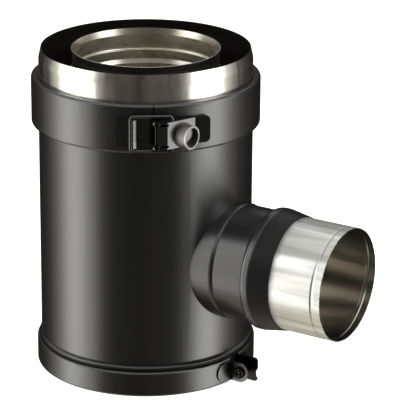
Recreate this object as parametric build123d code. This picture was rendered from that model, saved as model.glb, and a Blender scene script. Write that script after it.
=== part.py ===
"""Twin-wall flue tee with a side branch, a top locking band and a bottom clamp band.

Millimetres. The run axis is Z, the bottom edge lies at Z = 0 and the branch points along +X.
"""
import os
from math import acos, asin, atan2, cos, degrees, hypot, radians, sin, tan

from build123d import *

# Shared clearances
fit_gap = 0.05
running_gap = 0.05
side_gap = 0.2

# Run: casing
tee_height = 230.7
casing_radius = 75.0
casing_wall = 0.6
spigot_inset = 0.3
swage_length = 2.0
lead_in_height = 7.4
lead_in_depth = 1.6
lead_in_bend = 6.0
socket_clearance = 0.3
socket_bead_height = 20.1
socket_bead_width = 2.4
socket_bead_rise = 0.8
socket_groove_depth = 0.8
socket_groove_width = 1.7

# Run: inner flue
flue_radius = 50.0
flue_wall = 0.5
flue_top_drop = 0.8
flue_bottom = 2.0
male_end_inset = 0.2
male_end_length = 25.0
male_lead_in = 3.0
male_lead_in_depth = 0.6
flue_socket_clearance = 0.8
flue_ledge_depth = 25.4
flue_ledge_height = 3.0
flue_bead_depth = 14.4
flue_bead_width = 3.2
flue_bead_rise = 1.1
flue_lip_height = 4.5
flue_lip_flare = 0.9

# Run: closing rings and wool between the walls
ring_sheet = 0.8
ring_flange = 4.5
top_ring_drop = 32.7
bottom_ring_height = 34.0

# Branch
branch_height = 88.0
branch_reach = 164.0
sleeve_radius = 39.5
sleeve_wall = 0.6
sleeve_step_length = 3.5
sleeve_tail_gap = 1.0
sleeve_groove_inset = 6.2
sleeve_groove_width = 3.0
sleeve_groove_depth = 0.4
neck_rise = 0.5
neck_wall = 0.7
neck_overlap = 3.2
collar_wall = 0.9
collar_length = 5.5
collar_swage_length = 3.0
collar_edge = 0.25
cone_wall = 0.6
neck_length = 27.8
cone_rise_length = 1.5
cone_crown_length = 4.7
cone_crown_rise = 2.8
cone_length = 21.7
cone_bend = 3.0

# Top locking band
band_depth = 5.0
band_sheet = 0.8
band_drop = 53.1
band_height = 33.8
band_bend = 2.0
band_lip_gap = 0.15
band_split_azimuth = -52.8
band_split_width = 0.8

# Latch on the top band: rises are above its plate, offsets run round the band to the right
latch_rise = 15.5
latch_azimuth = -37.5
plate_sheet = 1.2
base_left = -24.5
base_right = 17.8
base_width = 18.6
base_corner = 3.5
ear_width = 6.2
pin_offset = -21.4
pin_rise = 3.3
pin_radius = 1.5
pin_head_radius = 2.4
pin_head_height = 0.7
lever_left = -15.5
lever_right = 6.2
lever_left_rise = 8.0
lever_right_rise = 1.75
lever_width = 18.6
lever_sheet = 1.2
lever_bend = 1.5
lever_notch = 1.2
flange_sheet = 1.0
lobe_radius = 3.1
tube_offset = -1.8
tube_drop = 2.4
tube_radius = 8.1
tube_wall = 1.3
tube_length = 6.1
tube_lean = 33.5
bail_offset = -10.5
bail_rise = 3.6
bail_half_width = 12.0
bail_stub = 4.6
bail_bend = 2.2
wire_radius = 1.1

# Catch on the top band
catch_azimuth = -66.0
catch_left = -6.6
catch_width = 20.0
catch_corner = 2.0
hook_rise = 5.5
hook_offset = 3.9
hook_gap = 0.5
lip_top_rise = 6.8
lip_lean = 12.0
lip_slope_run = 1.95
lip_round = 0.2
lip_inset = 0.2

# Bottom clamp band
clamp_depth = 2.4
clamp_sheet = 0.8
clamp_height = 18.0
clamp_bend = 1.5
clamp_top_lip = 0.2
clamp_azimuth = -3.2
clamp_gap = 11.0
bracket_sheet = 1.2
bracket_width = 14.5
bracket_length = 18.7
ear_overhang = 0.5
screw_rise = 8.0
near_ear_radius = 7.0
far_ear_reach = 15.7
far_ear_width = 17.4
far_ear_corner = 2.5
waist_depth = 1.6
waist_height = 8.0
waist_drop = 3.0
screw_radius = 2.45
screw_hole_gap = 0.25
screw_tail = 4.0
screw_head_radius = 4.3
screw_head_height = 3.0
screw_head_round = 1.6
recess_width = 1.1
recess_length = 5.0
recess_depth = 1.5
nut_across_flats = 8.0
nut_height = 4.0

# Sizes that follow from the ones above
band_radius = casing_radius + band_depth
band_bottom = tee_height - band_drop
latch_height = band_bottom + latch_rise
spigot_radius = casing_radius - spigot_inset
spigot_base = band_bottom + band_height - swage_length
socket_radius = spigot_radius + socket_clearance + casing_wall
clamp_radius = socket_radius + clamp_depth
casing_bore = casing_radius - casing_wall
top_ring_height = tee_height - top_ring_drop
male_end_radius = flue_radius - male_end_inset
flue_socket_radius = male_end_radius + flue_socket_clearance + flue_wall
flue_top = tee_height - flue_top_drop
neck_radius = sleeve_radius + neck_rise
sleeve_tail_radius = neck_radius - neck_wall - sleeve_tail_gap
tail_bore = sleeve_tail_radius - sleeve_wall
collar_reach = casing_radius + collar_length
cone_start = casing_radius + neck_length
cone_end = cone_start + cone_length
cone_crown_radius = neck_radius + cone_crown_rise
plate_back = band_radius + fit_gap
plate_face = plate_back + plate_sheet
clamp_middle = clamp_height / 2


def sheet_section(path, wall):
    """Face between a path and its copy one wall to its left."""
    return make_face(offset(Wire(path.edges()), amount=wall, side=Side.LEFT))


def turned_about_run(face, arc=360.0):
    """Solid of revolution about Z of a face drawn as (radius, height)."""
    return revolve(Plane.XZ * face, Axis.Z, arc)


def turned_about_branch(face):
    """Solid of revolution about the branch axis of a face drawn as (reach, radius)."""
    return Pos(0, 0, branch_height) * revolve(face, Axis.X)


def run_cylinder(radius):
    """Tall cylinder on the run axis, for trimming."""
    return Pos(0, 0, tee_height / 2) * Cylinder(radius, 2 * tee_height)


def branch_cylinder(radius):
    """Cylinder from the run axis out along the branch, for holes."""
    rod = Cylinder(radius, branch_reach, align=(Align.CENTER, Align.CENTER, Align.MIN))
    return Pos(0, 0, branch_height) * Rot(0, 90, 0) * rod


def bead(radius, height, width, rise):
    """Round bead in a wall at one radius, drawn upwards."""
    low = (radius, height - width / 2)
    crown = (radius + rise, height)
    high = (radius, height + width / 2)
    return ThreePointArc(low, crown, high)


def make_outer_casing():
    bead_low = socket_bead_height - socket_bead_width / 2
    bead_high = socket_bead_height + socket_bead_width / 2
    rim_low = tee_height - lead_in_height
    rim_radius = spigot_radius - lead_in_depth
    path = Line((socket_radius, 0), (socket_radius, bead_low))
    path += bead(socket_radius, socket_bead_height, socket_bead_width, socket_bead_rise)
    path += Polyline(
        (socket_radius, bead_high),
        (casing_radius - socket_groove_depth, bead_high + socket_groove_width / 2),
        (casing_radius, bead_high + socket_groove_width),
        (casing_radius, spigot_base),
        (spigot_radius, spigot_base + swage_length),
    )
    path += FilletPolyline(
        (spigot_radius, spigot_base + swage_length),
        (spigot_radius, rim_low),
        (rim_radius, tee_height),
        radius=lead_in_bend,
    )
    casing = turned_about_run(sheet_section(path, casing_wall))
    return casing - branch_cylinder(neck_radius + fit_gap)


def make_inner_flue():
    ledge_high = flue_top - flue_ledge_depth + flue_ledge_height
    ledge_low = flue_top - flue_ledge_depth
    bead_middle = flue_top - flue_bead_depth
    bead_low = bead_middle - flue_bead_width / 2
    bead_high = bead_middle + flue_bead_width / 2
    lip_low = flue_top - flue_lip_height
    male_top = flue_bottom + male_end_length
    path = Polyline(
        (male_end_radius - male_lead_in_depth, flue_bottom),
        (male_end_radius, flue_bottom + male_lead_in),
        (male_end_radius, male_top),
        (flue_radius, male_top + swage_length),
        (flue_radius, ledge_low),
        (flue_socket_radius, ledge_high),
        (flue_socket_radius, bead_low),
    )
    path += bead(flue_socket_radius, bead_middle, flue_bead_width, flue_bead_rise)
    path += Polyline(
        (flue_socket_radius, bead_high),
        (flue_socket_radius, lip_low),
        (flue_socket_radius + flue_lip_flare, flue_top),
    )
    flue = turned_about_run(sheet_section(path, flue_wall))
    return flue - branch_cylinder(tail_bore)


def make_closing_ring(web_height, flange_direction):
    """Channel ring between the walls, its flanges pointing up (1) or down (-1)."""
    inner = flue_radius + fit_gap
    outer = casing_bore - fit_gap
    flange_end = web_height + flange_direction * ring_flange
    path = Polyline((inner, flange_end), (inner, web_height), (outer, web_height), (outer, flange_end))
    wire = Wire(path.edges())
    side = Side.LEFT if flange_direction > 0 else Side.RIGHT
    return turned_about_run(make_face(offset(wire, amount=ring_sheet, side=side)))


def make_mineral_wool():
    inner = flue_radius + fit_gap
    outer = casing_bore - fit_gap
    low = bottom_ring_height + fit_gap
    high = top_ring_height - fit_gap
    corners = Polyline((inner, low), (outer, low), (outer, high), (inner, high), close=True)
    return turned_about_run(make_face(corners)) - branch_cylinder(sleeve_tail_radius + fit_gap)


def branch_tube(start, end, radius, wall):
    """Plain tube on the branch axis."""
    path = Line((end, radius), (start, radius))
    return turned_about_branch(sheet_section(path, wall))


def make_side_collar():
    bore = neck_radius + fit_gap
    swage_start = (collar_reach - collar_swage_length, bore + collar_wall)
    swage_end = (collar_reach, bore + collar_edge)
    outline = Polyline(swage_end, (collar_reach, bore), (0, bore), (0, bore + collar_wall), swage_start)
    outline += TangentArc(swage_start, swage_end, tangent=(1, 0))
    collar = turned_about_branch(make_face(outline))
    return collar - run_cylinder(casing_radius + fit_gap)


def make_side_neck():
    neck = branch_tube(0, cone_start + neck_overlap, neck_radius, neck_wall)
    return neck - run_cylinder(casing_bore)


def make_closing_cone():
    rise_end = cone_start + cone_rise_length
    crown_end = rise_end + cone_crown_length
    path = FilletPolyline(
        (cone_end, sleeve_radius + fit_gap + cone_wall),
        (crown_end, cone_crown_radius),
        (rise_end, cone_crown_radius),
        (cone_start, neck_radius + fit_gap + cone_wall),
        radius=cone_bend,
    )
    return turned_about_branch(sheet_section(path, cone_wall))


def make_branch_sleeve():
    groove_middle = branch_reach - sleeve_groove_inset
    groove_out = groove_middle + sleeve_groove_width / 2
    groove_in = groove_middle - sleeve_groove_width / 2
    groove_floor = sleeve_radius - sleeve_groove_depth
    path = Line((branch_reach, sleeve_radius), (groove_out, sleeve_radius))
    path += ThreePointArc(
        (groove_out, sleeve_radius), (groove_middle, groove_floor), (groove_in, sleeve_radius)
    )
    path += Polyline(
        (groove_in, sleeve_radius),
        (cone_end, sleeve_radius),
        (cone_end - sleeve_step_length, sleeve_tail_radius),
        (0, sleeve_tail_radius),
    )
    sleeve = turned_about_branch(sheet_section(path, sleeve_wall))
    return sleeve - run_cylinder(flue_radius + fit_gap)


def channel_path(radius, low_lip, high_lip, low, height, bend):
    """Outside of a band with both edges turned in, each as far as its own lip radius."""
    high = low + height
    return FilletPolyline((low_lip, low), (radius, low), (radius, high), (high_lip, high), radius=bend)


def split_band(path, radius, sheet, azimuth, gap):
    """Sheet band round the casing, open by a gap at one azimuth."""
    half_gap = degrees(asin(gap / 2 / radius))
    band = turned_about_run(sheet_section(path, sheet), 360 - 2 * half_gap)
    return Rot(0, 0, azimuth + half_gap) * band


def make_top_locking_band():
    lip_radius = casing_radius + band_lip_gap
    path = channel_path(band_radius, lip_radius, lip_radius, band_bottom, band_height, band_bend)
    return split_band(path, band_radius, band_sheet, band_split_azimuth, band_split_width)


def make_bottom_clamp_band():
    lip_radius = socket_radius + band_lip_gap
    top_lip_radius = clamp_radius - clamp_bend - clamp_top_lip
    path = channel_path(clamp_radius, lip_radius, top_lip_radius, 0, clamp_height, clamp_bend)
    return split_band(path, clamp_radius, clamp_sheet, clamp_azimuth, clamp_gap)


def on_band(shape, azimuth, height):
    """Turns a shape drawn with X outwards, Y to the right and Z up to its place round the run."""
    return Pos(0, 0, height) * Rot(0, 0, azimuth) * shape


def upright(face, low, high):
    """Prism of a face drawn in plan, from one level to another."""
    return extrude(Pos(0, 0, low) * face, high - low)


def both_sides(face, low, high):
    """The same prism above and below the middle of the latch."""
    return upright(face, low, high) + upright(face, -high, -low)


# Latch pivots in plan, as (distance from the run axis, offset)
pin_place = (plate_face + pin_rise, pin_offset)
bail_place = (plate_face + bail_rise, bail_offset)
flange_outside = lever_width / 2
flange_inside = flange_outside - flange_sheet
ear_outside = flange_inside - side_gap
ear_inside = ear_outside - plate_sheet
web_half_width = ear_inside - side_gap


def hook_place():
    """Place of the bail's end wire, carried from the catch's frame to the latch's frame."""
    distance = hypot(band_radius + hook_rise, hook_offset)
    angle = radians(catch_azimuth - latch_azimuth) + atan2(hook_offset, band_radius + hook_rise)
    return (distance * cos(angle), distance * sin(angle))


def flat_plate(left, right, width, corner):
    """Flat plate that touches the band at its middle, with its four corners rounded."""
    outline = Pos((left + right) / 2, 0) * RectangleRounded(right - left, width, corner)
    face = Plane(origin=(plate_back, 0, 0), x_dir=(0, 1, 0), z_dir=(1, 0, 0)) * outline
    return extrude(face, plate_sheet)


def make_latch_base():
    plate = flat_plate(base_left, base_right, base_width, base_corner)
    ear_depth = pin_place[0] - plate_back
    ear = Pos(plate_back + ear_depth / 2, pin_offset) * Rectangle(ear_depth, ear_width)
    ear += Pos(*pin_place) * Circle(ear_width / 2)
    ear -= Pos(*pin_place) * Circle(pin_radius + fit_gap)
    base = plate + both_sides(ear, ear_inside, ear_outside)
    return on_band(base, latch_azimuth, latch_height)


def lever_line():
    """Ends of the lever's outer face in plan."""
    left = (plate_face + lever_left_rise, lever_left)
    right = (plate_face + lever_right_rise, lever_right)
    return left, right


def lever_nose(left):
    """Point of the lobe round the pin where the sheet folded down from the lever's left end meets it."""
    apart = (left[0] - pin_place[0], left[1] - pin_place[1])
    turn = atan2(apart[1], apart[0]) - acos(lobe_radius / hypot(*apart))
    return (pin_place[0] + lobe_radius * cos(turn), pin_place[1] + lobe_radius * sin(turn))


def make_latch_lever():
    left, right = lever_line()
    start = Line(left, right) @ (lever_notch / hypot(right[0] - left[0], right[1] - left[1]))
    top = make_face(offset(Line(start, right), amount=lever_sheet, side=Side.LEFT))
    web = sheet_section(FilletPolyline(lever_nose(left), left, right, radius=lever_bend), lever_sheet)
    tip_foot = top.vertices().sort_by(Axis.Y)[-2:].sort_by(Axis.X)[0]
    foot = (tip_foot.X, tip_foot.Y)
    lobe = Pos(*pin_place) * Circle(lobe_radius)
    spine = Polyline(left, right, foot, left)
    flange = make_hull(lobe.edges() + spine.edges())
    flange -= Pos(*pin_place) * Circle(pin_radius + running_gap)
    flange -= Pos(*bail_place) * Circle(wire_radius + running_gap)
    lever = upright(top, -flange_outside, flange_outside) + both_sides(flange, flange_inside, flange_outside)
    lever += upright(web, -web_half_width, web_half_width)
    return on_band(lever, latch_azimuth, latch_height)


def make_lever_socket():
    left, right = lever_line()
    slope = degrees(atan2(right[0] - left[0], right[1] - left[1]))
    root_height = left[0] + (tube_offset - left[1]) * (right[0] - left[0]) / (right[1] - left[1])
    tube = Cylinder(tube_radius, 4 * tube_length) - Cylinder(tube_radius - tube_wall, 4 * tube_length)
    tube = Pos(0, 0, -tube_length) * tube
    tube = Plane(origin=(0, 0, 0), z_dir=(cos(radians(tube_lean)), sin(radians(tube_lean)), 0)) * tube
    room = 8 * tube_length
    below = Pos(-room / 2 + fit_gap, 0, 0) * Box(room, room, room)
    tube -= Rot(0, 0, -slope) * below
    tube = Pos(root_height, tube_offset, -tube_drop) * tube
    return on_band(tube, latch_azimuth, latch_height)


def make_lever_pin():
    reach = flange_outside + side_gap / 2
    pin = Cylinder(pin_radius, 2 * reach)
    head_middle = reach + pin_head_height / 2
    for direction in (-1, 1):
        pin += Pos(0, 0, direction * head_middle) * Cylinder(pin_head_radius, pin_head_height)
    return on_band(Pos(*pin_place) * pin, latch_azimuth, latch_height)


def make_wire_bail():
    hook = hook_place()
    stub = bail_half_width - bail_stub
    route = FilletPolyline(
        (*bail_place, stub),
        (*bail_place, bail_half_width),
        (*hook, bail_half_width),
        (*hook, -bail_half_width),
        (*bail_place, -bail_half_width),
        (*bail_place, -stub),
        radius=bail_bend,
    )
    section = Plane(origin=(*bail_place, stub), z_dir=(0, 0, 1)) * Circle(wire_radius)
    return on_band(sweep(section, path=route), latch_azimuth, latch_height)


def make_catch_plate():
    lean = tan(radians(lip_lean))
    hook_side = hook_offset + wire_radius + hook_gap
    crown = band_radius + lip_top_rise
    crown_offset = hook_side + (lip_top_rise - hook_rise) * lean
    foot_offset = hook_side - (band_radius + hook_rise - plate_back) * lean
    lip_right = crown_offset + lip_slope_run
    outline = Polyline(
        (plate_back, foot_offset),
        (crown, crown_offset),
        (crown - lip_slope_run, lip_right),
        (plate_back, lip_right),
        close=True,
    )
    lip_face = make_face(outline)
    lip_face = fillet(lip_face.vertices().sort_by(Axis.X)[-2:], lip_round)
    lip_half = catch_width / 2 - lip_inset
    plate = flat_plate(catch_left, lip_right, catch_width, catch_corner)
    catch = plate + upright(lip_face, -lip_half, lip_half)
    return on_band(catch, catch_azimuth, latch_height)


screw_distance = clamp_radius + screw_rise
ear_inner = clamp_gap / 2 - ear_overhang
ear_outer = ear_inner + bracket_sheet
bracket_back = clamp_radius + fit_gap
bracket_face = bracket_back + bracket_sheet


def bracket_foot():
    """Curved strip on the band with a round free end, right of the gap."""
    shell = Cylinder(bracket_face, bracket_width) - Cylinder(bracket_back, bracket_width)
    round_middle = bracket_length - bracket_width / 2
    outline = Pos((ear_inner + round_middle) / 2, 0) * Rectangle(round_middle - ear_inner, bracket_width)
    outline += Pos(round_middle, 0) * Circle(bracket_width / 2)
    face = Plane(origin=(0, 0, 0), x_dir=(0, 1, 0), z_dir=(1, 0, 0)) * outline
    return shell & extrude(face, 2 * clamp_radius)


def bracket_ear(outline):
    """Flat ear that stands out from the band beside the gap, drawn as (distance, height)."""
    face = Plane(origin=(0, ear_inner, 0), x_dir=(1, 0, 0), z_dir=(0, -1, 0)) * outline
    return extrude(face, -bracket_sheet)


def make_clamp_bracket_near():
    ear_depth = screw_distance - bracket_back
    lug = Pos(bracket_back + ear_depth / 2, 0) * Rectangle(ear_depth, 2 * near_ear_radius)
    lug += Pos(screw_distance, 0) * Circle(near_ear_radius)
    lug -= Pos(screw_distance, 0) * Circle(screw_radius + screw_hole_gap)
    bracket = bracket_foot() + bracket_ear(lug)
    return on_band(mirror(bracket, Plane.XZ), clamp_azimuth, clamp_middle)


def make_clamp_bracket_far():
    reach = bracket_back + far_ear_reach
    plate = RectangleRounded(far_ear_reach, far_ear_width, far_ear_corner)
    plate = Pos(bracket_back + far_ear_reach / 2, 0) * plate
    plate -= Pos(screw_distance, 0) * Circle(screw_radius + screw_hole_gap)
    waist_radius = (waist_height**2 / 4 + waist_depth**2) / (2 * waist_depth)
    plate -= Pos(reach - waist_depth + waist_radius, -waist_drop) * Circle(waist_radius)
    bracket = bracket_foot() + bracket_ear(plate)
    return on_band(bracket, clamp_azimuth, clamp_middle)


def along_screw(shape):
    """Turns a shape drawn up Z from the near ear's outer face along the screw, through both ears."""
    turned = Rot(-90, 0, 0) * shape
    return on_band(Pos(screw_distance, -ear_outer, 0) * turned, clamp_azimuth, clamp_middle)


def make_clamp_screw():
    grip = 2 * ear_outer + nut_height + screw_tail
    up = (Align.CENTER, Align.CENTER, Align.MIN)
    down = (Align.CENTER, Align.CENTER, Align.MAX)
    head = Cylinder(screw_head_radius, screw_head_height, align=down)
    head = fillet(head.edges().group_by(Axis.Z)[0], screw_head_round)
    for turn in (0, 90):
        arm = Box(recess_length, recess_width, recess_depth, align=up)
        head -= Pos(0, 0, -screw_head_height) * Rot(0, 0, turn) * arm
    return along_screw(head + Cylinder(screw_radius, grip, align=up))


def make_clamp_nut():
    hexagon = RegularPolygon(nut_across_flats / 2, 6, major_radius=False)
    hexagon -= Circle(screw_radius + fit_gap)
    return along_screw(extrude(Pos(0, 0, 2 * ear_outer) * hexagon, nut_height))


nodes = {
    "outer_casing": make_outer_casing(),
    "inner_flue": make_inner_flue(),
    "mineral_wool": make_mineral_wool(),
    "top_closing_ring": make_closing_ring(top_ring_height, 1),
    "bottom_closing_ring": make_closing_ring(bottom_ring_height, -1),
    "side_collar": make_side_collar(),
    "side_neck": make_side_neck(),
    "closing_cone": make_closing_cone(),
    "branch_sleeve": make_branch_sleeve(),
    "top_locking_band": make_top_locking_band(),
    "latch_base": make_latch_base(),
    "latch_lever": make_latch_lever(),
    "lever_socket": make_lever_socket(),
    "lever_pin": make_lever_pin(),
    "wire_bail": make_wire_bail(),
    "catch_plate": make_catch_plate(),
    "bottom_clamp_band": make_bottom_clamp_band(),
    "clamp_bracket_near": make_clamp_bracket_near(),
    "clamp_bracket_far": make_clamp_bracket_far(),
    "clamp_screw": make_clamp_screw(),
    "clamp_nut": make_clamp_nut(),
}

os.makedirs("parts", exist_ok=True)
for name, shape in nodes.items():
    export_step(shape, f"parts/{name}.step")
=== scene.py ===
from math import atan2, cos, pi, radians, sin

import bmesh
import bpy
from mathutils import Matrix, Vector

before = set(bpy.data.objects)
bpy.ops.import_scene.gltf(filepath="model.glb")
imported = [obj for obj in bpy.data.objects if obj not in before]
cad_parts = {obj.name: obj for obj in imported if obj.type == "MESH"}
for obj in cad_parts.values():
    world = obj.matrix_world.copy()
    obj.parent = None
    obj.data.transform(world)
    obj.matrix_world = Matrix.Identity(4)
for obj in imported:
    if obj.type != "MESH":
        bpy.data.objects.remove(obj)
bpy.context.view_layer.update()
MM = 0.001
X = Vector((1, 0, 0))
Z = Vector((0, 0, 1))


def span(name, axis):
    """Lowest and highest place of a CAD node along an axis."""
    places = [vertex.co.dot(axis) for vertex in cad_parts[name].data.vertices]
    return min(places), max(places)


# How far finishes reach past the pieces that bound them
PAINT_UNDER_BAND = 1.9 * MM
# The painted shade in the gap above the bottom clamp reaches this far above the clamp's top
SHADE_ABOVE_CLAMP = 2.5 * MM
GLOSS_PAST_NECK = 3.0 * MM
OVERSPRAY_PAST_CONE = 0.1 * MM
SAWN_RIM_DEPTH = 1.19 * MM

# Places on the tee that its finishes follow
PAINT_TOP = span("top_locking_band", Z)[1] - PAINT_UNDER_BAND
SHADE_TOP = span("bottom_clamp_band", Z)[1] + SHADE_ABOVE_CLAMP
CONE_CROWN_END = span("side_neck", X)[1] + GLOSS_PAST_NECK
OVERSPRAY_START = span("closing_cone", X)[1] + OVERSPRAY_PAST_CONE
BRANCH_HEIGHT = sum(span("branch_sleeve", Z)) / 2
SEAM_PLACE = -2.0 * MM
TUBE_SLANT = radians(-4)
TUBE_AXIS = Vector((cos(TUBE_SLANT), sin(TUBE_SLANT), 0))
SAWN_RIM_START = span("lever_socket", TUBE_AXIS)[1] - SAWN_RIM_DEPTH

# Sizes of the patterns in the finishes
PAINT_GRAIN = 0.9 * MM
PAINT_GRAIN_DEPTH = 0.03 * MM
PAINT_CLOUD = 45 * MM
FLUE_STREAK = 6 * MM
FLUE_DENT = 22 * MM
FLUE_DENT_DEPTH = 0.1 * MM
SPIGOT_WIPE = 7 * MM
SPIGOT_DENT = 18 * MM
SPIGOT_DENT_DEPTH = 0.2 * MM
SLEEVE_STREAK = 10 * MM
SEAM_HALF_WIDTH = 0.5 * MM
OVERSPRAY_PATCH = 11 * MM
OVERSPRAY_RAGGEDNESS = 5 * MM
OVERSPRAY_FADE = 8 * MM
DRY_COAT_FADE = 1.5 * MM
SAWN_RIM_FADE = 0.3 * MM

# How patterns are drawn out: less than 1 along the axes where they run long
FLUE_STREAK_SCALE = (0.2, 0.2, 1)
SPIGOT_WIPE_SCALE = (1, 1, 0.15)
SLEEVE_STREAK_SCALE = (0.06, 1, 1)

# Ranges of a noise that become the whole range of a finish; the narrower has harder edges
SOFT_NOISE = {"From Min": 0.3, "From Max": 0.7}
HARD_NOISE = {"From Min": 0.38, "From Max": 0.62}

# Colours of the paints and steels
PAINT_BLACK = "#070708"
DRY_PAINT_BLACK = "#09080b"
# The casing's near-black inside, also used as the painted shade in the gap above the bottom clamp
INSIDE_AND_SHADE_BLACK = "#12100d"
SPIGOT_STEEL = "#d8d5cd"
FLUE_STEEL = "#ccc7bb"
WIPED_STEEL = "#e4e4e0"
HAZY_STEEL = "#b2b2ad"
SLEEVE_INSIDE_STEEL = "#cdcac4"
SEAM_GREY = "#85827b"
TUBE_STEEL = "#74726f"
SAWN_STEEL = "#aeada9"

# Gloss of the paints and steels; pairs run from the smoothest to the roughest places
PAINT_IOR = 1.8
DRY_PAINT_IOR = 1.33
CASING_ROUGHNESS = 0.295
CROWN_ROUGHNESS = 0.3
DRY_COAT_ROUGHNESS = 0.42
SPIGOT_ROUGHNESS = (0.14, 0.26)
FLUE_ROUGHNESS = (0.24, 0.31)
SLEEVE_ROUGHNESS = (0.33, 0.54)
SLEEVE_INSIDE_ROUGHNESS = 0.18


def colour(code):
    """Linear colour of an sRGB hex value."""
    channels = [int(code[i:i + 2], 16) / 255 for i in (1, 3, 5)]
    linear = [c / 12.92 if c <= 0.04045 else ((c + 0.055) / 1.055) ** 2.4 for c in channels]
    return [*linear, 1.0]


def add(tree, kind, links=None, sockets=None, **settings):
    """Adds a node, with its settings, its socket values and its links from other nodes' outputs."""
    node = tree.nodes.new(kind)
    for name, value in settings.items():
        setattr(node, name, value)
    for name, value in (sockets or {}).items():
        node.inputs[name].default_value = value
    for name, output in (links or {}).items():
        tree.links.new(output, node.inputs[name])
    return node


def new_material(name):
    """Empty node material; returns the material, its tree and its output node."""
    material = bpy.data.materials.new(name)
    material.use_nodes = True
    tree = material.node_tree
    tree.nodes.clear()
    return material, tree, add(tree, "ShaderNodeOutputMaterial")


def paint_grain(tree, place):
    """Bump of sprayed paint: a fine grain, drawn coarser than the real one so that it shows."""
    grain = add(tree, "ShaderNodeTexNoise", {"Vector": place}, {"Scale": 1 / PAINT_GRAIN, "Detail": 2.0})
    return add(tree, "ShaderNodeBump", {"Height": grain.outputs["Fac"]},
               {"Strength": 0.3, "Distance": PAINT_GRAIN_DEPTH})


def satin_black_paint(name, low, high):
    """Heat-proof spray paint: deep black, a soft gloss between two roughnesses and a fine sprayed grain."""
    material, tree, output = new_material(name)
    place = add(tree, "ShaderNodeTexCoord").outputs["Object"]
    cloud = add(tree, "ShaderNodeTexNoise", {"Vector": place}, {"Scale": 1 / PAINT_CLOUD, "Detail": 3.0})
    rough = add(tree, "ShaderNodeMapRange", {"Value": cloud.outputs["Fac"]},
                {"To Min": low, "To Max": high})
    bump = paint_grain(tree, place)
    paint = add(tree, "ShaderNodeBsdfPrincipled",
                {"Roughness": rough.outputs["Result"], "Normal": bump.outputs["Normal"]},
                {"Base Color": colour(PAINT_BLACK), "IOR": PAINT_IOR})
    tree.links.new(paint.outputs["BSDF"], output.inputs["Surface"])
    return material


def plain_finish(name, tint, roughness, metallic=0.0, gloss=0.5):
    """One even colour and gloss all over."""
    material, tree, output = new_material(name)
    finish = add(tree, "ShaderNodeBsdfPrincipled", None,
                 {"Base Color": colour(tint), "Roughness": roughness, "Metallic": metallic,
                  "Specular IOR Level": gloss})
    tree.links.new(finish.outputs["BSDF"], output.inputs["Surface"])
    return material


def flue_finish():
    """Bright-rolled stainless: a warm grey mirror, blurred by streaks round the tube and shallow dents."""
    material, tree, output = new_material("bright_rolled_stainless_flue")
    place = add(tree, "ShaderNodeTexCoord").outputs["Object"]
    drawn = add(tree, "ShaderNodeMapping", {"Vector": place}, {"Scale": FLUE_STREAK_SCALE})
    streak = add(tree, "ShaderNodeTexNoise", {"Vector": drawn.outputs["Vector"]},
                 {"Scale": 1 / FLUE_STREAK, "Detail": 4.0})
    low, high = FLUE_ROUGHNESS
    rough = add(tree, "ShaderNodeMapRange", {"Value": streak.outputs["Fac"]},
                {**SOFT_NOISE, "To Min": low, "To Max": high})
    dent = add(tree, "ShaderNodeTexNoise", {"Vector": place}, {"Scale": 1 / FLUE_DENT, "Detail": 1.0})
    bump = add(tree, "ShaderNodeBump", {"Height": dent.outputs["Fac"]},
               {"Strength": 0.5, "Distance": FLUE_DENT_DEPTH})
    steel = add(tree, "ShaderNodeBsdfPrincipled",
                {"Roughness": rough.outputs["Result"], "Normal": bump.outputs["Normal"]},
                {"Base Color": colour(FLUE_STEEL), "Metallic": 1.0})
    tree.links.new(steel.outputs["BSDF"], output.inputs["Surface"])
    return material


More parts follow.
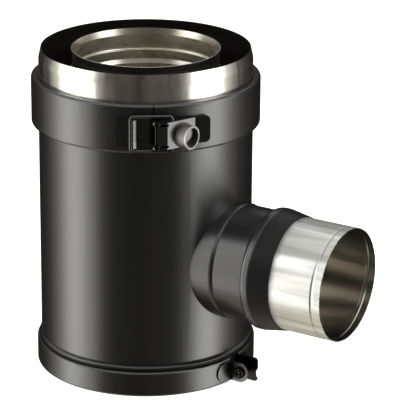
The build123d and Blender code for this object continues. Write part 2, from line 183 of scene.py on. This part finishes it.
def casing_finish():
    """The casing: satin paint, bare bright steel on the spigot, warm near-black inside, and a painted shade
    in the gap by the bottom clamp.
    """
    material, tree, output = new_material("painted_casing_with_bare_spigot")
    coords = add(tree, "ShaderNodeTexCoord")
    place = coords.outputs["Object"]
    parts = add(tree, "ShaderNodeSeparateXYZ", {"Vector": place})

    # Outside is where the surface faces away from the run axis
    spoke = add(tree, "ShaderNodeCombineXYZ", {"X": parts.outputs["X"], "Y": parts.outputs["Y"]})
    facing = add(tree, "ShaderNodeVectorMath", {0: coords.outputs["Normal"], 1: spoke.outputs["Vector"]},
                 operation="DOT_PRODUCT")
    outside = add(tree, "ShaderNodeMath", {0: facing.outputs["Value"]}, {1: 0.0}, operation="GREATER_THAN")
    above = add(tree, "ShaderNodeMath", {0: parts.outputs["Z"]}, {1: PAINT_TOP}, operation="GREATER_THAN")
    bare = add(tree, "ShaderNodeMath", {0: outside.outputs["Value"], 1: above.outputs["Value"]},
               operation="MULTIPLY")

    # Paint and bare steel in one shader
    smear = add(tree, "ShaderNodeMapping", {"Vector": place}, {"Scale": SPIGOT_WIPE_SCALE})
    wipe = add(tree, "ShaderNodeTexNoise", {"Vector": smear.outputs["Vector"]},
               {"Scale": 1 / SPIGOT_WIPE, "Detail": 3.0})
    low, high = SPIGOT_ROUGHNESS
    bare_rough = add(tree, "ShaderNodeMapRange", {"Value": wipe.outputs["Fac"]},
                     {**SOFT_NOISE, "To Min": low, "To Max": high})
    rough = add(tree, "ShaderNodeMix", {"Factor": bare.outputs["Value"], "B": bare_rough.outputs["Result"]},
                {"A": CASING_ROUGHNESS})
    tone = add(tree, "ShaderNodeMix", {"Factor": bare.outputs["Value"]},
               {"A": colour(PAINT_BLACK), "B": colour(SPIGOT_STEEL)}, data_type="RGBA")
    dent = add(tree, "ShaderNodeTexNoise", {"Vector": place}, {"Scale": 1 / SPIGOT_DENT, "Detail": 2.0})
    waves = add(tree, "ShaderNodeBump", {"Height": dent.outputs["Fac"], "Strength": bare.outputs["Value"]},
                {"Distance": SPIGOT_DENT_DEPTH})
    bump = paint_grain(tree, place)
    tree.links.new(waves.outputs["Normal"], bump.inputs["Normal"])
    shown = add(tree, "ShaderNodeBsdfPrincipled",
                {"Base Color": tone.outputs["Result"], "Metallic": bare.outputs["Value"],
                 "Roughness": rough.outputs["Result"], "Normal": bump.outputs["Normal"]},
                {"IOR": PAINT_IOR})

    # Warm near-black on the inside, and painted shade in the gap above the bottom clamp, where real shade
    # falls
    dark_inside_and_shade = add(tree, "ShaderNodeBsdfPrincipled", None,
               {"Base Color": colour(INSIDE_AND_SHADE_BLACK), "Roughness": 0.45, "Specular IOR Level": 0.3})
    # Painted shade: the outside below SHADE_TOP, in the gap above the bottom clamp, turns near-black
    clear = add(tree, "ShaderNodeMath", {0: parts.outputs["Z"]}, {1: SHADE_TOP}, operation="GREATER_THAN")
    outside_above_shade = add(tree, "ShaderNodeMath", {0: outside.outputs["Value"], 1: clear.outputs["Value"]},
              operation="MULTIPLY")
    finish = add(tree, "ShaderNodeMixShader",
                 {0: outside_above_shade.outputs["Value"], 1: dark_inside_and_shade.outputs["BSDF"], 2: shown.outputs["BSDF"]})
    tree.links.new(finish.outputs["Shader"], output.inputs["Surface"])
    return material


def sleeve_finish():
    """The branch sleeve: wiped stainless with hazy streaks, glossier inside, with overspray by the cone."""
    material, tree, output = new_material("wiped_stainless_sleeve_with_overspray")
    coords = add(tree, "ShaderNodeTexCoord")
    place = coords.outputs["Object"]
    parts = add(tree, "ShaderNodeSeparateXYZ", {"Vector": place})

    # Outside is where the surface faces away from the branch axis
    from_axis = add(tree, "ShaderNodeMath", {0: parts.outputs["Z"]}, {1: BRANCH_HEIGHT},
                    operation="SUBTRACT")
    spoke = add(tree, "ShaderNodeCombineXYZ", {"Y": parts.outputs["Y"], "Z": from_axis.outputs["Value"]})
    facing = add(tree, "ShaderNodeVectorMath", {0: coords.outputs["Normal"], 1: spoke.outputs["Vector"]},
                 operation="DOT_PRODUCT")
    outside = add(tree, "ShaderNodeMath", {0: facing.outputs["Value"]}, {1: 0.0}, operation="GREATER_THAN")

    # Haze in streaks along the sleeve
    drawn = add(tree, "ShaderNodeMapping", {"Vector": place}, {"Scale": SLEEVE_STREAK_SCALE})
    streak = add(tree, "ShaderNodeTexNoise", {"Vector": drawn.outputs["Vector"]},
                 {"Scale": 1 / SLEEVE_STREAK, "Detail": 4.0})
    haze = add(tree, "ShaderNodeMapRange", {"Value": streak.outputs["Fac"]}, HARD_NOISE)
    low, high = SLEEVE_ROUGHNESS
    wiped = add(tree, "ShaderNodeMapRange", {"Value": haze.outputs["Result"]},
                {"To Min": low, "To Max": high})
    rough = add(tree, "ShaderNodeMix", {"Factor": outside.outputs["Value"], "B": wiped.outputs["Result"]},
                {"A": SLEEVE_INSIDE_ROUGHNESS})

    # Overspray with a ragged edge, on the outside only
    ragged = add(tree, "ShaderNodeTexNoise", {"Vector": place},
                 {"Scale": 1 / OVERSPRAY_PATCH, "Detail": 3.0})
    edge = add(tree, "ShaderNodeMath", {0: ragged.outputs["Fac"], 2: parts.outputs["X"]},
               {1: OVERSPRAY_RAGGEDNESS}, operation="MULTIPLY_ADD")
    cleared = add(tree, "ShaderNodeMapRange", {"Value": edge.outputs["Value"]},
                  {"From Min": OVERSPRAY_START, "From Max": OVERSPRAY_START + OVERSPRAY_FADE},
                  interpolation_type="SMOOTHSTEP")
    inside = add(tree, "ShaderNodeMath", {1: outside.outputs["Value"]}, {0: 1.0}, operation="SUBTRACT")
    bare = add(tree, "ShaderNodeMath", {0: cleared.outputs["Result"], 1: inside.outputs["Value"]},
               operation="MAXIMUM")

    # Seam line, along the top outside and along the bottom inside
    across = add(tree, "ShaderNodeMath", {0: parts.outputs["Y"]}, {1: SEAM_PLACE, 2: SEAM_HALF_WIDTH},
                 operation="COMPARE")
    side = add(tree, "ShaderNodeMath", {0: facing.outputs["Value"], 1: from_axis.outputs["Value"]},
                  operation="MULTIPLY")
    seam = add(tree, "ShaderNodeMath", {0: side.outputs["Value"]}, {1: 0.0}, operation="GREATER_THAN")
    weld = add(tree, "ShaderNodeMath", {0: across.outputs["Value"], 1: seam.outputs["Value"]},
               operation="MULTIPLY")

    # Steel tones, with the seam and the overspray over them
    smeared = add(tree, "ShaderNodeMix", {"Factor": haze.outputs["Result"]},
                  {"A": colour(WIPED_STEEL), "B": colour(HAZY_STEEL)}, data_type="RGBA")
    steel = add(tree, "ShaderNodeMix", {"Factor": outside.outputs["Value"], "B": smeared.outputs["Result"]},
                {"A": colour(SLEEVE_INSIDE_STEEL)}, data_type="RGBA")
    joined = add(tree, "ShaderNodeMix", {"Factor": weld.outputs["Value"], "A": steel.outputs["Result"]},
                 {"B": colour(SEAM_GREY)}, data_type="RGBA")
    tone = add(tree, "ShaderNodeMix", {"Factor": bare.outputs["Value"], "B": joined.outputs["Result"]},
               {"A": colour(PAINT_BLACK)}, data_type="RGBA")
    finish = add(tree, "ShaderNodeBsdfPrincipled",
                 {"Base Color": tone.outputs["Result"], "Metallic": bare.outputs["Value"],
                  "Roughness": rough.outputs["Result"]})
    tree.links.new(finish.outputs["BSDF"], output.inputs["Surface"])
    return material


def cone_finish():
    """The closing cone: satin paint on its crown, a drier and darker spray coat on the slope beyond it."""
    material, tree, output = new_material("dry_sprayed_black_cone")
    place = add(tree, "ShaderNodeTexCoord").outputs["Object"]
    parts = add(tree, "ShaderNodeSeparateXYZ", {"Vector": place})
    dry = add(tree, "ShaderNodeMapRange", {"Value": parts.outputs["X"]},
              {"From Min": CONE_CROWN_END, "From Max": CONE_CROWN_END + DRY_COAT_FADE})
    rough = add(tree, "ShaderNodeMix", {"Factor": dry.outputs["Result"]},
                {"A": CROWN_ROUGHNESS, "B": DRY_COAT_ROUGHNESS})
    index = add(tree, "ShaderNodeMix", {"Factor": dry.outputs["Result"]},
                {"A": PAINT_IOR, "B": DRY_PAINT_IOR})
    bump = paint_grain(tree, place)
    paint = add(tree, "ShaderNodeBsdfPrincipled",
                {"Roughness": rough.outputs["Result"], "IOR": index.outputs["Result"],
                 "Normal": bump.outputs["Normal"]},
                {"Base Color": colour(DRY_PAINT_BLACK)})
    tree.links.new(paint.outputs["BSDF"], output.inputs["Surface"])
    return material


def lever_tube_finish():
    """The lever's tube: dull unpainted steel with a bright sawn rim."""
    material, tree, output = new_material("dull_steel_tube_with_sawn_rim")
    place = add(tree, "ShaderNodeTexCoord").outputs["Object"]
    along = add(tree, "ShaderNodeVectorMath", {0: place}, {1: TUBE_AXIS}, operation="DOT_PRODUCT")
    sawn = add(tree, "ShaderNodeMapRange", {"Value": along.outputs["Value"]},
               {"From Min": SAWN_RIM_START, "From Max": SAWN_RIM_START + SAWN_RIM_FADE})
    tone = add(tree, "ShaderNodeMix", {"Factor": sawn.outputs["Result"]},
               {"A": colour(TUBE_STEEL), "B": colour(SAWN_STEEL)}, data_type="RGBA")
    finish = add(tree, "ShaderNodeBsdfPrincipled", {"Base Color": tone.outputs["Result"]},
                 {"Roughness": 0.44, "Metallic": 1.0})
    tree.links.new(finish.outputs["BSDF"], output.inputs["Surface"])
    return material


def dress(material, *names):
    """Puts one finish on whole CAD nodes."""
    for name in names:
        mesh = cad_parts[name].data
        mesh.materials.clear()
        mesh.materials.append(material)


dress(casing_finish(), "outer_casing")
dress(sleeve_finish(), "branch_sleeve")
dress(lever_tube_finish(), "lever_socket")
dress(flue_finish(), "inner_flue")
dress(cone_finish(), "closing_cone")
dress(satin_black_paint("satin_black_heatproof_paint", low=0.28, high=0.31), "side_collar", "side_neck",
      "top_locking_band", "bottom_clamp_band", "clamp_bracket_near")

# The same paint on the latch's small pieces, smoother there, so that their edges catch the lamps
dress(satin_black_paint("smooth_black_latch_paint", low=0.20, high=0.24), "latch_lever", "wire_bail",
      "catch_plate")

# Thin black on pressed steel: hardly any gloss, so that it stays black beside the paint
dress(plain_finish("dull_black_pressed_steel", tint="#070707", roughness=0.3, gloss=0.15),
      "latch_base", "clamp_bracket_far")

# Closing rings: a warm near-black with a faint sheen between the two walls
dress(plain_finish("warm_black_closing_ring", tint="#14110e", roughness=0.45),
      "top_closing_ring", "bottom_closing_ring")

# Passivated fasteners: dark olive metal with small sharp glints
dress(plain_finish("black_passivated_screw_steel", tint="#2b2921", roughness=0.28, metallic=1.0),
      "clamp_screw", "clamp_nut", "lever_pin")

# Mineral wool: matt yellow-brown fibre, hidden between the walls
dress(plain_finish("mineral_wool_batt", tint="#8d8148", roughness=0.95), "mineral_wool")

# Camera: a long lens, a little above the tee and to the front of its branch
CAMERA_PLACE = Vector((883.74, -1332.23, 670.98)) * MM
CAMERA_LOOK = Vector((-0.5034, 0.7998, -0.327))
CAMERA_ROLL = radians(0.42)
CAMERA_AZIMUTH = atan2(CAMERA_PLACE.y, CAMERA_PLACE.x)


def photo_camera():
    """Camera at the photograph's place and angle."""
    lens = bpy.data.cameras.new("camera")
    lens.sensor_width = 36.0
    lens.lens = 214.9
    camera = bpy.data.objects.new("camera", lens)
    turn = CAMERA_LOOK.to_track_quat("-Z", "Y").to_matrix() @ Matrix.Rotation(CAMERA_ROLL, 3, "Z")
    camera.matrix_world = Matrix.Translation(CAMERA_PLACE) @ turn.to_4x4()
    bpy.context.scene.collection.objects.link(camera)
    bpy.context.scene.camera = camera


# Lamps: on either side a wide softbox and a brighter, narrower core in front of it
SOFTBOXES = {
    "left_softbox": dict(azimuth=-77, distance=0.95, width=0.82, low=-0.8, high=1.2, watts=6.8),
    "left_softbox_core": dict(azimuth=-79, distance=0.94, width=0.38, low=-0.45, high=0.5, watts=2.4),
    "right_softbox": dict(azimuth=67, distance=0.95, width=0.74, low=-0.8, high=1.2, watts=6.2),
    "right_softbox_core": dict(azimuth=67, distance=0.94, width=0.38, low=-0.8, high=1.2, watts=5.2),
}


def softbox(name, azimuth, distance, width, low, high, watts):
    """Tall soft lamp that faces the run axis; azimuth is counted from the camera's side, to the right."""
    light = bpy.data.lights.new(name, "AREA")
    light.shape = "RECTANGLE"
    light.size = width
    light.size_y = high - low
    light.energy = watts
    lamp = bpy.data.objects.new(name, light)
    angle = CAMERA_AZIMUTH + radians(azimuth)
    out = Vector((cos(angle), sin(angle), 0))
    facing = (-out).to_track_quat("-Z", "Y").to_matrix().to_4x4()
    middle = out * distance + Z * (low + high) / 2
    lamp.matrix_world = Matrix.Translation(middle) @ facing
    lamp.visible_camera = False
    bpy.context.scene.collection.objects.link(lamp)


# The room that the metal reflects: soft stripes between two greys, about so many to a radian
ROOM_DARK = "#191918"
ROOM_PALE = "#676462"
STRIPES_PER_RADIAN = 4.5

# Sheets in front of the room, the later over the earlier: colour, azimuths in degrees from the camera's
# side, heights on a sphere round the tee with a radius of 1, and softness of the edges
STUDIO_SHEETS = [
    ("#22201e", (135, 225), (-0.66, 0.3), 0.2),
    ("#ffffff", (-190, 190), (0.5, 1.2), 0.1),
    ("#b9b0a0", (-190, 190), (-1.2, -0.66), 0.08),
    ("#f4ecdb", (-168, -64), (-1.2, -0.66), 0.08),
    ("#d9d6ce", (46, 106), (-0.62, 0.5), 0.24),
    ("#d9d6cc", (-118, -52), (-0.62, 0.5), 0.12),
]


def between(tree, value, low, high, soft):
    """Mask that is 1 between two values and fades out over a soft edge on either side."""
    rise = add(tree, "ShaderNodeMapRange", {"Value": value},
               {"From Min": low - soft, "From Max": low + soft}, interpolation_type="SMOOTHSTEP")
    fall = add(tree, "ShaderNodeMapRange", {"Value": value},
               {"From Min": high - soft, "From Max": high + soft, "To Min": 1.0, "To Max": 0.0},
               interpolation_type="SMOOTHSTEP")
    return add(tree, "ShaderNodeMath", {0: rise.outputs["Result"], 1: fall.outputs["Result"]},
               operation="MULTIPLY").outputs["Value"]


def studio_world():
    """White to the camera; in reflections, a dim room with a dark back and pale sheets round the tee."""
    world = bpy.data.worlds.new("studio")
    bpy.context.scene.world = world
    world.use_nodes = True
    tree = world.node_tree
    tree.nodes.clear()
    output = add(tree, "ShaderNodeOutputWorld")
    ray = add(tree, "ShaderNodeLightPath")
    direction = add(tree, "ShaderNodeTexCoord").outputs["Generated"]
    turned = add(tree, "ShaderNodeVectorRotate", {"Vector": direction}, {"Angle": -CAMERA_AZIMUTH},
                 rotation_type="Z_AXIS")
    parts = add(tree, "ShaderNodeSeparateXYZ", {"Vector": turned.outputs["Vector"]})
    azimuth = add(tree, "ShaderNodeMath", {0: parts.outputs["Y"], 1: parts.outputs["X"]},
                  operation="ARCTAN2")
    full_turn = add(tree, "ShaderNodeMath", {0: azimuth.outputs["Value"]}, {1: 0.0, 2: 2 * pi},
                    operation="WRAP")
    stripes = add(tree, "ShaderNodeTexNoise", {"W": azimuth.outputs["Value"]},
                  {"Scale": STRIPES_PER_RADIAN, "Detail": 3.0}, noise_dimensions="1D")
    pale = add(tree, "ShaderNodeMapRange", {"Value": stripes.outputs["Fac"]}, SOFT_NOISE)
    tone = add(tree, "ShaderNodeMix", {"Factor": pale.outputs["Result"]},
               {"A": colour(ROOM_DARK), "B": colour(ROOM_PALE)}, data_type="RGBA")
    for code, (start, end), (low, high), soft in STUDIO_SHEETS:
        # A sheet that lies behind the tee is measured on the turn from 0 to 360 degrees
        turn = full_turn if 0 < start < 180 < end else azimuth
        across = between(tree, turn.outputs["Value"], radians(start), radians(end), soft)
        upright = between(tree, parts.outputs["Z"], low, high, soft)
        mask = add(tree, "ShaderNodeMath", {0: across, 1: upright}, operation="MULTIPLY")
        tone = add(tree, "ShaderNodeMix", {"Factor": mask.outputs["Value"], "A": tone.outputs["Result"]},
                   {"B": colour(code)}, data_type="RGBA")
    seen = add(tree, "ShaderNodeMath",
               {0: ray.outputs["Is Camera Ray"], 1: ray.outputs["Is Transmission Ray"]}, operation="MAXIMUM")
    shown = add(tree, "ShaderNodeMix", {"Factor": seen.outputs["Value"], "A": tone.outputs["Result"]},
                {"B": colour("#ffffff")}, data_type="RGBA")
    background = add(tree, "ShaderNodeBackground", {"Color": shown.outputs["Result"]})
    tree.links.new(background.outputs["Background"], output.inputs["Surface"])


FLOOR_HALF_WIDTH = 6.0


def white_floor():
    """White table top: white to the camera, and left out of the metal's reflections."""
    material, tree, output = new_material("white_table_top")
    ray = add(tree, "ShaderNodeLightPath")
    matt = add(tree, "ShaderNodeBsdfDiffuse", None, {"Color": colour("#f2f2f2")})
    glow = add(tree, "ShaderNodeEmission", {"Strength": ray.outputs["Is Camera Ray"]},
               {"Color": colour("#f0f0f0")})
    both = add(tree, "ShaderNodeAddShader", {0: matt.outputs["BSDF"], 1: glow.outputs["Emission"]})
    tree.links.new(both.outputs["Shader"], output.inputs["Surface"])
    mesh = bpy.data.meshes.new("table_top")
    shape = bmesh.new()
    bmesh.ops.create_grid(shape, x_segments=1, y_segments=1, size=FLOOR_HALF_WIDTH)
    shape.to_mesh(mesh)
    shape.free()
    mesh.materials.append(material)
    floor = bpy.data.objects.new("table_top", mesh)
    floor.visible_glossy = False
    floor.visible_shadow = False
    bpy.context.scene.collection.objects.link(floor)


photo_camera()
for lamp_name, lamp_values in SOFTBOXES.items():
    softbox(lamp_name, **lamp_values)
studio_world()
white_floor()
bpy.context.scene.view_settings.view_transform = "Standard"
